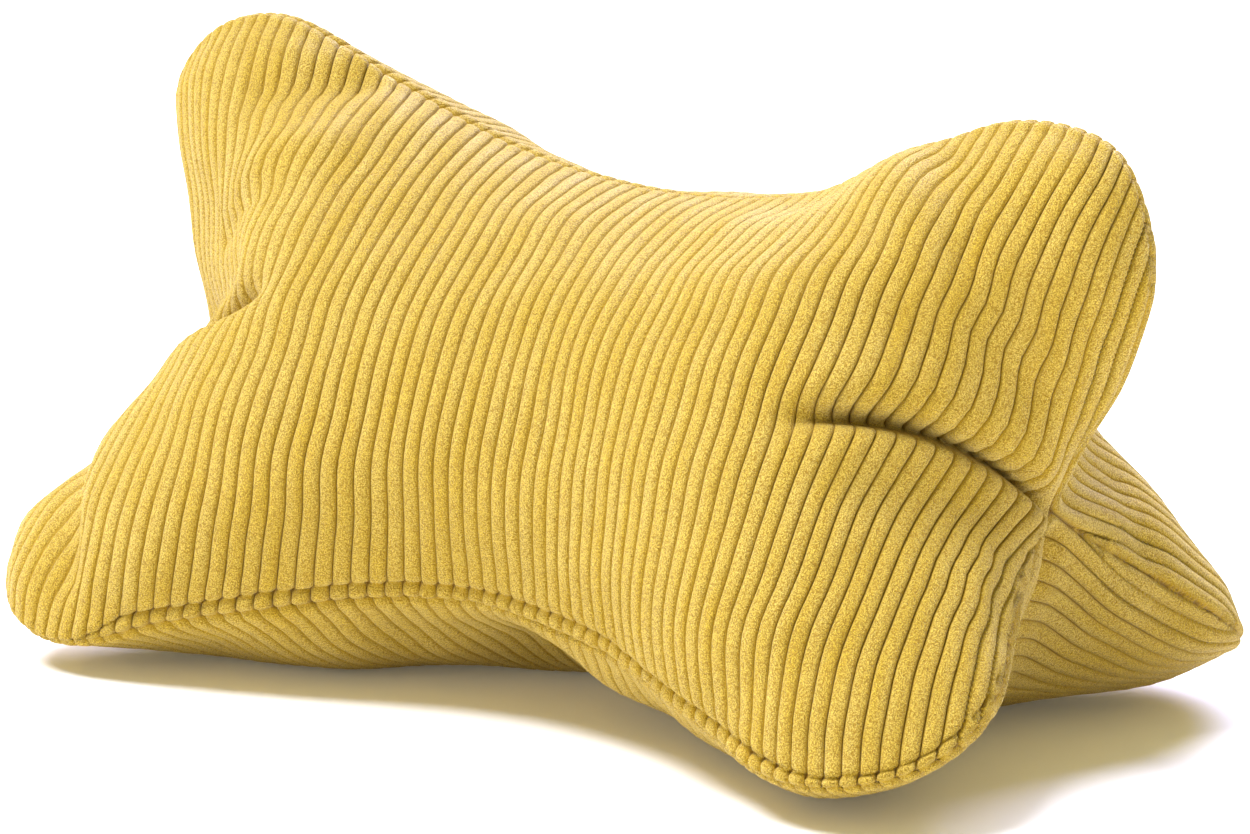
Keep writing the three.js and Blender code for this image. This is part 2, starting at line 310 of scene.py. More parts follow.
def settle(shell, place, threads, folds, triangles, spacing, rounds, bend):
    # threads pull, folds resist, the filling presses outwards and the floor holds the pillow up
    first, second, length, share = threads
    foldIds, foldShares = folds
    corners, places = triangles
    place = place.copy()
    size = shell.size
    pull = share * filling["clothStiffness"] * spacing
    stiff = np.bincount(first, pull / length, size) + np.bincount(second, pull / length, size)
    flat = flatArea(shell, places)
    area = sum(np.bincount(corners[:, k], flat / 3, size) for k in range(3))
    foldCount = foldIds.shape[1]
    index = np.concatenate([first, second, foldIds.T.reshape(-1), corners.T.reshape(-1)])
    bend = bend * filling["clothStiffness"]
    speed = np.zeros_like(place)
    # the steps grow while the cloth moves downhill, and start small again when it has to turn
    step, blend, downhill = 0.1, 0.1, 0
    for _ in range(rounds):
        edge = place[second] - place[first]
        now = np.linalg.norm(edge, axis=1) + 1e-15
        stretch = (now - length) / length
        along = (np.where(stretch > 0, 1, filling["slack"]) * pull * stretch / now)[:, None] * edge
        away = bend * sum(foldShares[:, k, None] * place[foldIds[:, k]] for k in range(foldCount))
        u, v = place[corners[:, 1]] - place[corners[:, 0]], place[corners[:, 2]] - place[corners[:, 0]]
        swell = np.cross(u, v) * (filling["pressure"] / 6)
        loads = [along, -along] + [-foldShares[:, k, None] * away for k in range(foldCount)] + [swell] * 3
        loads = np.concatenate(loads)
        force = np.stack([np.bincount(index, loads[:, k], size) for k in range(3)], 1)
        force[:, 2] -= filling["weight"] * area
        force[:, 2] += stiff * np.maximum(filling["floor"] - place[:, 2], 0)
        force /= stiff[:, None]
        power = np.sum(force * speed)
        if power > 0:
            downhill += 1
            turn = math.sqrt(np.sum(speed**2) / (np.sum(force**2) + 1e-30))
            speed = (1 - blend) * speed + blend * force * turn
            if downhill > 5:
                step = min(step * 1.1, 1)
                blend *= 0.99
        else:
            speed[:] = 0
            step *= 0.5
            blend = 0.1
            downhill = 0
        speed += step * force
        place += np.clip(step * speed, -filling["longestMove"], filling["longestMove"])
    return place


def stuffShell(shell):
    runs, lead = foldLines(shell)
    shares = np.stack([-lead, np.ones_like(lead), lead - 1], 1)
    return settle(shell, prism(shell), shellThreads(shell), (runs, shares), shellTriangles(shell),
                  filling["spacing"], filling["rounds"], filling["bend"])


print("stuffing the sewn panels")
coarse = coarseShell()
coarsePlace = stuffShell(coarse)


def ease(value):
    value = np.clip(value, 0, 1)
    return value * value * (3 - 2 * value)


def bandThrough(known, values, wanted):
    # smooth sheet through the known flat points, read at the wanted ones; lengths are in decimetres
    def bend(a, b):
        gap = ((a[:, None, 0] - b[None, :, 0]) ** 2 + (a[:, None, 1] - b[None, :, 1]) ** 2) * 100
        return gap * np.log(gap + 1e-12)

    def plane(a):
        return np.concatenate([np.ones((len(a), 1)), a * 10], 1)

    count = len(known)
    system = np.zeros((count + 3, count + 3))
    system[:count, :count] = bend(known, known)
    system[:count, count:] = plane(known)
    system[count:, :count] = plane(known).T
    weights = np.linalg.solve(system, np.concatenate([values, np.zeros((3, 3))]))
    result = np.zeros((len(wanted), 3))
    for k in range(0, len(wanted), 3000):
        some = wanted[k : k + 3000]
        result[k : k + 3000] = bend(some, known) @ weights[:count] + plane(some) @ weights[count:]
    return result


def sheetThrough(known, values, wanted):
    # in eleven overlapping bands across the panel, blended, which is much quicker than in one piece
    band = 0.043
    result = np.zeros((len(wanted), 3))
    for centre in np.arange(-5, 6) * band:
        share = ease(1 - np.abs(wanted[:, 0] - centre) / band)
        mine = share > 0
        near = np.abs(known[:, 0] - centre) < band * 1.3
        result[mine] += share[mine][:, None] * bandThrough(known[near], values[near], wanted[mine])
    return result


def flatPoints(mesh, panel):
    # each point of a panel once: where it lies in the flat cut, and its number
    only, first = np.unique(mesh.ids[panel].reshape(-1), return_index=True)
    flat = np.stack([mesh.x[panel].reshape(-1)[first], mesh.y[panel].reshape(-1)[first]], 1)
    return flat, only


class CutMesh:
    # the panels as a mesh: one quarter is laid out flat and mirrored to the four quarters
    # of each panel; columns run along the wales and a triangulated patch fills each end
    # index order: panel, right or left, upper or lower, point
    def __init__(self, columns, rowPlaces, endColumns, endStep):
        points = []
        quads = []
        for x in columns:
            points.extend((x, y) for y in rowPlaces(outerEdge(x)))
        rows = len(points) // len(columns)
        for column in range(len(columns) - 1):
            for row in range(rows - 1):
                first = column * rows + row
                quads.append((first, first + rows, first + rows + 1, first + 1))
        lastColumn = list(range((len(columns) - 1) * rows, len(columns) * rows))
        onSeam = set(range(rows - 1, len(points), rows))
        onMiddle = set(range(0, len(points), rows))

        bottom = [(x, 0.0) for x in endColumns if x < notchX - tiny] + [(notchX, 0.0)]
        end = self.endOutline(columns[-1], endStep)
        start = len(points)
        points += bottom + end
        middleIds = list(range(start, start + len(bottom)))
        seamIds = list(range(start + len(bottom), len(points)))
        self.notch = middleIds[-1]
        onSeam.update(seamIds + [self.notch])
        onMiddle.update(middleIds[:-1])
        loop = [lastColumn[0]] + middleIds + seamIds + lastColumn[:0:-1]
        outline = np.array([bottom[-1]] + end + [points[lastColumn[-1]]])
        inside = []  # loose points inside the end, none too near its outline
        for x in endColumns:
            top, low = float(outerEdge(x)), float(innerEdge(x))
            if x >= halfLength - endStep * 0.4 or top - low < endStep:
                continue
            steps = max(2, round((top - low) / (endStep * 1.5)))
            for y in np.linspace(low, top, steps + 1):
                near = np.hypot(outline[:, 0] - x, outline[:, 1] - y).min()
                if near > endStep * 0.62 and y > endStep * 0.6:
                    inside.append((x, y))
        inner = list(range(len(points), len(points) + len(inside)))
        points += inside
        used = loop + inner
        edges = [(k, (k + 1) % len(loop)) for k in range(len(loop))]
        found = delaunay_2d_cdt([Vector(points[k]) for k in used], edges, [], 1, 1e-9)
        names = [used[origin[0]] for origin in found[3]]
        triangles = [tuple(names[k] for k in face) for face in found[2]]

        self.flat = np.array(points)
        self.faces = quads + triangles
        count = len(points)
        atMiddleX = self.flat[:, 0] < tiny
        self.ids = np.zeros((3, 2, 2, count), int)
        names = {}
        for panel in range(3):
            for turn in (0, 1):
                for side in (0, 1):
                    seam = panel if side == 0 else (panel + 2) % 3
                    for point in range(count):
                        half = 0 if atMiddleX[point] else turn
                        if point == self.notch:
                            name = ("notch", half)
                        elif point in onSeam:
                            name = ("seam", seam, half, point)
                        else:
                            name = (panel, half, 0 if point in onMiddle else side, point)
                        self.ids[panel, turn, side, point] = names.setdefault(name, len(names))
        self.size = len(names)
        signs = np.array([1.0, -1.0])
        shape = self.ids.shape
        self.x = np.broadcast_to(signs[None, :, None, None] * self.flat[:, 0], shape)
        self.y = np.broadcast_to(signs[None, None, :, None] * self.flat[:, 1], shape)
        self.distance = self.fromOutline()

    def endOutline(self, fromX, step):
        # the outline from just past the notch round to the last straight column
        rise = np.linspace(0, lobeY, 500)
        notch = np.stack([endEdge(rise), rise], 1)
        radius = cut["lobeRadius"]
        turns = np.linspace(0, math.acos((fromX - lobeX) / radius), 700)
        lobe = np.stack([lobeX + radius * np.cos(turns), lobeY + radius * np.sin(turns)], 1)
        line = np.concatenate([notch, lobe[1:]])
        length = np.concatenate([[0], np.cumsum(np.hypot(*np.diff(line, axis=0).T))])
        count = round(length[-1] / step)
        stops = np.linspace(0, length[-1], count + 1)[1:-1]
        return [tuple(np.interp(stop, length, line[:, k]).item() for k in (0, 1)) for stop in stops]

    def fromOutline(self):
        # how far each flat point lies from the panel's edge
        meet = notchX - 0.012
        end = np.array(self.endOutline(meet, 0.0007))
        across = np.linspace(0, meet, 400)
        line = np.concatenate([end, np.stack([across, outerEdge(across)], 1), [(notchX, 0.0)]])
        result = np.zeros(len(self.flat))
        for k in range(0, len(self.flat), 3000):
            gap = self.flat[k : k + 3000, None] - line[None]
            result[k : k + 3000] = np.sqrt((gap**2).sum(2).min(1))
        return result

    def allFaces(self):
        # every face as positions in the index order above, turned so that it looks outwards
        order = np.arange(self.ids.size).reshape(self.ids.shape)
        flatIds = self.ids.reshape(-1)
        result = []
        for panel in range(3):
            for turn in (0, 1):
                for side in (0, 1):
                    where = order[panel, turn, side]
                    for face in self.faces:
                        corners = [where[k] for k in face]
                        if turn != side:
                            corners.reverse()
                        if len({flatIds[k] for k in corners}) > 2:
                            result.append(corners)
        return result

    def read(self, other, place):
        # the stuffed places of another mesh of the same panels, read at this one's flat points
        result = np.zeros((self.size, 3))
        count = np.zeros(self.size)
        for panel in range(3):
            known, ids = flatPoints(other, panel)
            wanted, mine = flatPoints(self, panel)
            result[mine] += sheetThrough(known, place[ids], wanted)
            count[mine] += 1
        return result / count[:, None]


# a second, finer settling: short threads across the ends draw the seams in to the last wales
fineFilling = {
    "spacing": 0.0055,
    "bend": 0.5225,
    "rounds": 200,
    "endStep": 0.005,
    "rows": 17,
}


def midMesh():
    last = cut["straightWales"]
    columns = pitch * np.arange(0, last)
    endColumns = pitch * np.arange(last - 0.5, last + 3.5, 0.5)
    return CutMesh(columns, lambda room: np.linspace(0, room, fineFilling["rows"]), endColumns,
                   fineFilling["endStep"])


def meshThreads(mesh):
    # every edge once for each panel, and the cross threads of the four-sided faces
    x, y, ids = mesh.x.reshape(-1), mesh.y.reshape(-1), mesh.ids.reshape(-1)
    third = ids.size // 3
    found = {}
    for face in mesh.allFaces():
        count = len(face)
        pairs = [(face[k], face[(k + 1) % count], 1.0) for k in range(count)]
        if count == 4:
            pairs += [(face[0], face[2], 0.5), (face[1], face[3], 0.5)]
        for s, e, share in pairs:
            i, j = ids[s], ids[e]
            if i != j:
                length = math.hypot(x[s] - x[e], y[s] - y[e])
                found[(min(i, j), max(i, j), s // third)] = (i, j, length, share)
    return threadTable(found)


def asTriangles(faces):
    triangles = [face for face in faces if len(face) == 3]
    quads = np.array([face for face in faces if len(face) == 4])
    return np.concatenate([triangles, quads[:, [0, 1, 2]], quads[:, [0, 2, 3]]])


def meshFolds(mesh, places):
    # two triangles that share a side stay in one plane: the side's point nearest to the far corners
    x, y, ids = mesh.x.reshape(-1), mesh.y.reshape(-1), mesh.ids.reshape(-1)
    third = ids.size // 3
    tooFar = 0.05  # triangles that meet in the sewn form and not in the flat panel
    sides = {}
    foldIds, shares = [], []
    for face in places:
        for k in range(3):
            a, b, far = face[k], face[(k + 1) % 3], face[(k + 2) % 3]
            key = (min(ids[a], ids[b]), max(ids[a], ids[b]), a // third)
            if key not in sides:
                sides[key] = (a, b, far)
                continue
            other = sides.pop(key)[2]
            if abs(y[other] - y[far]) > tooFar or abs(x[other] - x[far]) > tooFar:
                continue
            side = np.array([x[b] - x[a], y[b] - y[a]])
            span = np.array([x[other] - x[far], y[other] - y[far]])
            start = np.array([x[far] - x[a], y[far] - y[a]])
            area = side[0] * span[1] - side[1] * span[0]
            if abs(area) < 1e-10:
                continue
            s = (start[0] * span[1] - start[1] * span[0]) / area
            t = (start[0] * side[1] - start[1] * side[0]) / area
            foldIds.append((ids[a], ids[b], ids[far], ids[other]))
            shares.append((1 - s, s, t - 1, -t))
    return np.array(foldIds), np.array(shares)


def settleMid(mesh, place):
    places = asTriangles(mesh.allFaces())
    triangles = (mesh.ids.reshape(-1)[places], places)
    return settle(mesh, place, meshThreads(mesh), meshFolds(mesh, places), triangles,
                  fineFilling["spacing"], fineFilling["rounds"], fineFilling["bend"])


print("settling the seams")
mid = midMesh()
midPlace = settleMid(mid, mid.read(coarse, coarsePlace))

# soft moves that line the sewn form up with the photo, in millimetres: name, panel, a place on it,
# how far round that the move reaches, and how far it goes; 23 of the 33 come from a least-squares
# fit outside this script, rounded and 9 of them then changed, and the other 10 are given one by one
pressSet = [
    ("top right lobe", 0, (160, 115), 50, (2, 2, -6)),
    ("top right rise", 0, (104, 94), 24, (0, 0, 7)),
    ("top right shoulder", 0, (174, 118), 20, (5, 0, 4)),
    ("top right end", 0, (205, 55), 45, (5, 1, -3)),
    ("top left end", 0, (-205, 55), 45, (-3, 0, 10)),
    ("front right lobe", 0, (160, -110), 55, (-10, 0, 0)),
    ("front left lobe", 0, (-160, -110), 55, (0, -3, 1)),
    ("front right end", 0, (207, -60), 40, (-2, 2, 5)),
    ("front left end", 0, (-207, -60), 40, (3, 1, -4)),
    ("top seam right", 0, (85, 95), 50, (5, 1, -5)),
    ("top seam left", 0, (-85, 95), 50, (1, 2, 4)),
    ("top seam middle", 0, (-30, 84), 45, (0, 0, 3)),
    ("closing seam right", 0, (85, -95), 45, (-1, -5, -2)),
    ("closing seam left", 0, (-85, -95), 45, (-1, -6, -2)),
    ("closing seam far left", 0, (-158, -124), 22, (0, -1, -4)),
    ("closing seam middle", 0, (0, -83), 45, (1, 0, -2)),
    ("left notch", 0, (-200, 0), 40, (0, -1, -6)),
    ("left shoulder", 0, (-158, -30), 26, (-3, 0, 0)),
    ("front", 0, (0, 0), 70, (4, 3, 5)),
    ("underside front", 2, (0, 46), 30, (0, 0, 13)),
    ("underside left", 2, (-85, 60), 40, (4, -8, 0)),
    ("underside swell", 2, (30, 72), 24, (-1, -3, -3)),
    ("underside right", 2, (150, -24), 30, (0, 0, -4)),
    ("left tip seam", 0, (-212, 85), 26, (2, 2, 3)),
    ("right tip seam", 0, (212, -85), 26, (-1, 0, -1)),
    ("left flank low", 0, (-165, -55), 40, (-1, 1, 3)),
    ("left flank high", 0, (-165, 50), 40, (5, 3, -9)),
    ("back right tip", 1, (205, 85), 40, (-1, 0, -2)),
    ("right notch", 0, (205, 0), 35, (0, 0, 2)),
    ("right flank", 0, (208, 40), 26, (3, 1, 0)),
    ("back right flank", 1, (172, 49), 30, (2, 1, 2)),
    ("left pinch", 0, (-122, 2), 16, (4, 2, 0)),
    ("front right belly", 0, (150, -30), 32, (1, -5, 2)),
]
floorGrip = 0.022  # below this height (metres) the cloth moves less up or down


def pressIntoShape(fine, start):
    start = start - [0, 0, start[:, 2].min()]
    place = start.copy()
    grip = ease(start[:, 2] / floorGrip)
    for name, panel, *press in pressSet:
        at, reach, move = (np.array(part) / 1000 for part in press)
        x, y = fine.x[panel].reshape(-1), fine.y[panel].reshape(-1)
        nearest = np.hypot(x - at[0], y - at[1]).argmin()
        centre = start[fine.ids[panel].reshape(-1)[nearest]]
        share = np.exp(-((start - centre) ** 2).sum(1) / reach**2)
        place[:, :2] += share[:, None] * move[:2]
        place[:, 2] += share * move[2] * (1 if name == "underside front" else grip)
    return place


# the cord's surface: wales across the panel, seams round its outline (metres)
cordSet = {
    "crest": 0.0006,  # crest above the cloth's middle
    "groove": 0.0014,  # groove below it
    "roundness": 5.0,
    "fullness": 0.6,  # under 1 the wale's sides stand steeper
    "steps": (0.0, 0.29, 0.43, 0.5, 0.57, 0.71),  # columns over one wale, from crest to crest
    "middleRows": (0, 1.6, 3.2, 5, 7, 9.5, 12.5, 16, 20),  # millimetres from the panel's middle
    "seamRows": (16, 12.5, 10, 8.2, 7.0, 6.1, 5.3, 4.4, 3.5, 2.6, 1.7, 0.8, 0),  # and from its seam
    "rowsBetween": 16,
    "endStep": 0.0013,
    "endCurve": 2.2,  # how squarely a wale ends at a seam
    "wander": 0.55,  # how far the wales wander from straight, as a share of the unevenness
    "closingSeam": 2,
}
restSet = {"sunk": 0.0022, "low": 0.0002}  # how much of the bottom is pressed flat, and at what height


def fineRows(room):
    start = np.array(cordSet["middleRows"]) / 1000
    end = room - np.array(cordSet["seamRows"]) / 1000
    between = np.linspace(start[-1], end[0], cordSet["rowsBetween"] + 1)[1:-1]
    return np.concatenate([start, between, end])


def fineMesh():
    steps = np.array(cordSet["steps"])
    last = cut["straightWales"]
    whole = (np.arange(last)[:, None] + steps[None, :]).reshape(-1)
    straight = np.append(whole, last) * pitch
    beyond = (np.arange(last, last + 5)[:, None] + steps[None, :]).reshape(-1)[1:] * pitch
    return CutMesh(straight, fineRows, beyond, cordSet["endStep"])


def hump(value, width):
    return np.exp(-((value / width) ** 2))


def ridge(value, shape):
    height, at, reach = shape
    return height * hump(value - at, reach)


# folds in the flat panel's own metres: x and y of both ends, how deep the cloth is drawn in,
# how wide the fold is, how far the cloth above it laps over, how much it swells beside it,
# how far the wales sway where they cross it, over which share of it it fades out, and how far
# its middle bows upwards
foldSet = [
    {"name": "front right", "panel": 0, "from": (0.2052, 0.001), "to": (0.108, -0.0134),
     "depth": 0.0135, "width": 0.0047, "lap": 0.0060, "swell": 0.0066, "sway": 0.0030, "fade": 0.38,
     "bow": 0.0159},
    {"name": "front left", "panel": 0, "from": (-0.2040, -0.018), "to": (-0.096, 0.0115),
     "depth": 0.012, "width": 0.0044, "lap": 0.0040, "swell": 0.003, "sway": 0.0035, "fade": 0.32},
    {"name": "front left crease", "panel": 0, "from": (-0.156, 0.044), "to": (-0.104, 0.057),
     "depth": 0.0025, "width": 0.0055, "lap": 0.0015, "swell": 0.0012, "sway": 0.0025, "fade": 0.7},
    {"name": "back right", "panel": 1, "from": (0.2060, -0.001), "to": (0.170, -0.004),
     "depth": 0.003, "width": 0.006, "lap": -0.001, "swell": 0.001, "sway": 0.0, "fade": 0.9},
    {"name": "back left", "panel": 1, "from": (-0.2052, -0.001), "to": (-0.125, 0.010),
     "depth": 0.009, "width": 0.006, "lap": 0.003, "swell": 0.003, "sway": -0.001, "fade": 0.8},
    {"name": "bottom right", "panel": 2, "from": (0.2052, 0.0), "to": (0.160, 0.004),
     "depth": 0.006, "width": 0.006, "lap": 0.001, "swell": 0.002, "sway": 0.0, "fade": 0.9},
    {"name": "bottom left", "panel": 2, "from": (-0.2052, 0.0), "to": (-0.160, -0.003),
     "depth": 0.006, "width": 0.006, "lap": 0.001, "swell": 0.002, "sway": 0.0, "fade": 0.9},
]
# across any fold, in its own widths from its line: height, place and reach
foldForm = {
    "above": (1.0, 2.6, 2.4),  # the cloth swells above the fold
    "below": (0.45, -3.0, 2.6),  # and less below it
    "lap": (-1.0, 1.5, 1.7),
    "swayAbove": (-1.0, 1.3, 1.5),
    "swayBelow": (0.5, -1.8, 1.8),
    "upperSlope": 1.7,  # how much gentler the fold's upper side is
}
# soft dents (depth over 0) and ridges (depth under 0): panel, both ends of a line on it, how deep
# and how wide
dentSet = [
    (0, (0.127, 0.108), (0.150, 0.078), 0.0022, 0.007),
    (0, (0.150, 0.078), (0.168, 0.050), 0.0024, 0.008),
    (0, (0.148, 0.101), (0.172, 0.090), 0.0016, 0.008),
    (0, (0.112, 0.096), (0.134, 0.070), -0.0010, 0.009),
    (0, (0.168, 0.070), (0.184, 0.040), 0.0020, 0.007),
    (0, (0.184, 0.064), (0.196, 0.034), -0.0016, 0.006),
    (0, (-0.142, 0.097), (-0.108, 0.099), 0.0040, 0.008),
    (0, (-0.136, 0.112), (-0.112, 0.112), -0.0016, 0.007),
    (0, (-0.128, 0.070), (-0.106, 0.070), -0.0018, 0.009),
    (0, (-0.172, 0.012), (-0.138, 0.018), 0.0075, 0.013),
    (0, (-0.174, -0.066), (-0.154, -0.048), -0.0025, 0.018),
    (0, (-0.178, -0.064), (-0.152, -0.108), 0.0065, 0.0075),
    (0, (-0.190, -0.098), (-0.172, -0.118), -0.0030, 0.012),
    (0, (0.198, -0.036), (0.209, -0.066), 0.0018, 0.005),
    (1, (0.180, 0.031), (0.206, 0.046), 0.0022, 0.007),
    (1, (-0.150, 0.110), (-0.100, 0.080), 0.0026, 0.010),
    (1, (0.120, -0.100), (0.150, -0.060), 0.0026, 0.010),
    (2, (-0.050, 0.064), (0.022, 0.068), 0.0016, 0.010),
    (2, (0.205, -0.060), (0.212, -0.090), 0.0020, 0.006),
]
# places where the wales waver from side to side: panel, centre, reach, how far and how often
waverSet = [
    (0, (0.178, 0.052), 0.030, 0.0007, 0.026),
    (0, (0.128, 0.096), 0.028, 0.0007, 0.030),
    (0, (0.206, -0.052), 0.022, 0.0013, 0.022),
    (0, (-0.118, 0.062), 0.030, 0.0010, 0.028),
    (0, (-0.160, -0.096), 0.026, 0.0010, 0.030),
    (1, (0.170, -0.060), 0.035, 0.0012, 0.030),
    (1, (-0.160, 0.060), 0.035, 0.0012, 0.028),
    (2, (-0.170, 0.050), 0.030, 0.0010, 0.026),
]

# seams, in millimetres from the panel's edge; a ridge is its height, place and reach
seamSet = {
    "endRound": 2.0,  # how long the rounded end of a wale is
    "endUneven": 0.3,  # how much earlier or later each wale ends
    "swell": (0.6, 3.4, 2.0),
    "sink": (-0.9, 0.0, 1.0),
    "underRound": 1.1,  # the closing seam on the bottom panel
    "underSwell": (0.5, 3.0, 2.6),
    "underSink": (-0.8, 0.0, 0.9),
    "frontRound": 1.4,  # the closing seam on the front panel
    "frontUneven": 0.35,
    "frontSwell": (0.7, 3.5, 3.0),  # beyond the line of stitches
    "stitches": (-0.45, 0.0, 0.6),
    "frontSink": (-0.6, 0.0, 0.8),
    "beadRise": 1.6,
    "beadHeight": 6.0,  # the beads along the closing seam, one for each wale
    "beadGap": 0.7,  # how much deeper the grooves are between the beads
    "beadLess": 0.6,  # how much of that is left round the right lobe
    "beadStart": -0.150,  # there are no beads left of this (metres)
    "beadReach": 0.168,  # how far from the middle the beads keep their size (metres)
    "beadLean": 0.0013,  # how far the stitches draw the beads along the seam (metres)
    "waleSeed": 7,
}


def waleCrest(x, ending):
    # 1 along a wale's crest, 0 in the groove and past the wale's rounded end
    across = np.abs((x / pitch + 0.5) % 1 - 0.5) * 2
    crest = 1 - across ** cordSet["roundness"] - ending ** cordSet["endCurve"]
    return np.clip(crest, 0, 1) ** cordSet["fullness"]


def perWale(x, seed):
    # one seeded number between -1 and 1 for each wale, with room for 90 of them round the middle
    numbers = np.random.default_rng(seed).uniform(-1, 1, 90)
    return numbers[np.round(x / pitch).astype(int) + 45]


def unevenEnds(mm, x, most, seed):
    # each wale ends a little earlier or later, but the edge itself stays where it is
    return mm + most * perWale(x, seed) * ease((mm - 1) / 3)


def plainSeam(panel, x, distance):
    # how far the wale has ended (0 to 1) and the push of the seam in metres
    mm = unevenEnds(distance * 1000, x, seamSet["endUneven"], seamSet["waleSeed"] + panel)
    ending = np.clip(1 - mm / seamSet["endRound"], 0, 1)
    return ending, (ridge(mm, seamSet["swell"]) + ridge(mm, seamSet["sink"])) / 1000


def closingSeam(panel, x, distance):
    # the front's wales end at a line of hand stitches, with a row of beads between it and the edge;
    # besides the ending and the push: the slide along the seam, and how much deeper the grooves are
    mm = distance * 1000
    if panel != 0:
        lift = 1 + 0.3 * perWale(x, seamSet["waleSeed"] + 30)
        push = lift * ridge(mm, seamSet["underSwell"]) + ridge(mm, seamSet["underSink"])
        return np.clip(1 - mm / seamSet["underRound"], 0, 1), push / 1000, 0 * mm, 0 * mm
    less = seamSet["beadLess"]
    size = less + (1 - less) * ease((seamSet["beadReach"] - np.abs(x)) / 0.04)
    size *= ease((x - seamSet["beadStart"]) / 0.03)
    mm = unevenEnds(mm, x, seamSet["frontUneven"], seamSet["waleSeed"])
    line = seamSet["beadHeight"] * size  # where the stitches run
    above = np.clip((line + seamSet["frontRound"] - mm) / seamSet["frontRound"], 0, 1)
    bead = np.clip(np.abs(mm - line * 0.5) / (line * 0.5 + 0.2), 0, 1)
    lift = size * (1 + 0.35 * perWale(x, seamSet["waleSeed"] + 20))
    push = seamSet["beadRise"] * lift * hump(mm - line * 0.45, 2.6)
    push += ridge(mm - line, seamSet["frontSwell"]) + ridge(mm - line, seamSet["stitches"])
    push += ridge(mm, seamSet["frontSink"])
    slide = -seamSet["beadLean"] * size * ease((line + 0.6 - mm) / 1.2)
    gaps = seamSet["beadGap"] * size * hump(mm - line * 0.5, line * 0.5 + 0.1)
    return np.where(mm > line, above, bead), push / 1000, slide, gaps


def foldShape(fold, x, y):
    # push along the normal, slide across the fold and sway along it
    start, end = np.array(fold["from"]), np.array(fold["to"])
    along = end - start
    reach = np.linalg.norm(along)
    along /= reach
    across = np.array([-along[1], along[0]])
    if across[1] < 0:
        across = -across
    t = ((x - start[0]) * along[0] + (y - start[1]) * along[1]) / reach
    d = (x - start[0]) * across[0] + (y - start[1]) * across[1]
    d = d - fold.get("bow", 0) * 4 * np.clip(t * (1 - t), 0, 1)
    strength = (1 - ease((t - (1 - fold["fade"])) / fold["fade"])) * ease((t + 0.05) / 0.12)
    d = d / fold["width"]
    push = -fold["depth"] * hump(d, np.where(d > 0, foldForm["upperSlope"], 1))
    push += fold["swell"] * (ridge(d, foldForm["above"]) + ridge(d, foldForm["below"]))
    slide = fold["lap"] * ridge(d, foldForm["lap"])
    sway = fold["sway"] * (ridge(d, foldForm["swayAbove"]) + ridge(d, foldForm["swayBelow"]))
    return strength * push, strength * slide, strength * sway


def dentShape(start, end, depth, width, x, y):
    line = np.array(end) - start
    t = np.clip(((x - start[0]) * line[0] + (y - start[1]) * line[1]) / (line @ line), 0, 1)
    gap = np.hypot(x - start[0] - t * line[0], y - start[1] - t * line[1])
    return depth * hump(gap, width)


def unevenness(x, y, seed):
    # slow uneven swelling of the stuffing, a few seeded waves
    rng = np.random.default_rng(seed)
    total = np.zeros_like(x)
    for wavelength, height in ((0.11, 0.0009), (0.06, 0.0006), (0.032, 0.00035)):
        for _ in range(5):
            angle, shift = rng.uniform(0, 2 * math.pi, 2)
            along = x * math.cos(angle) + y * math.sin(angle)
            total += height / 2 * np.sin(2 * math.pi * along / wavelength + shift)
    return total


def directions(fine, base, triangles):
    # outward normal of every point, and which way flat x and y run on each panel's own copy of it
    corners = fine.ids.reshape(-1)[triangles]
    p0, p1, p2 = (base[corners[:, k]] for k in range(3))
    normals = np.zeros((fine.size, 3))
    across = np.cross(p1 - p0, p2 - p0)
    for k in range(3):
        for axis in range(3):
            normals[:, axis] += np.bincount(corners[:, k], across[:, axis], fine.size)
    normals /= np.linalg.norm(normals, axis=1)[:, None] + 1e-15
    y = fine.y.reshape(-1)[triangles]
    y1, y2 = y[:, 1] - y[:, 0], y[:, 2] - y[:, 0]
    alongX = (p1 - p0) * y2[:, None] - (p2 - p0) * y1[:, None]
    panel = triangles[:, 0] // (fine.ids.size // 3)
    mine = np.arange(fine.ids.size) // (fine.ids.size // 3) * fine.size + fine.ids.reshape(-1)
    total = np.zeros((3 * fine.size, 3))
    for k in range(3):
        copies = panel * fine.size + corners[:, k]
        for axis in range(3):
            total[:, axis] += np.bincount(copies, alongX[:, axis], 3 * fine.size)
    alongX = total[mine]
    normal = normals[fine.ids.reshape(-1)]
    alongX -= normal * (alongX * normal).sum(1)[:, None]
    alongX /= np.linalg.norm(alongX, axis=1)[:, None] + 1e-15
    return normal, alongX, np.cross(normal, alongX)


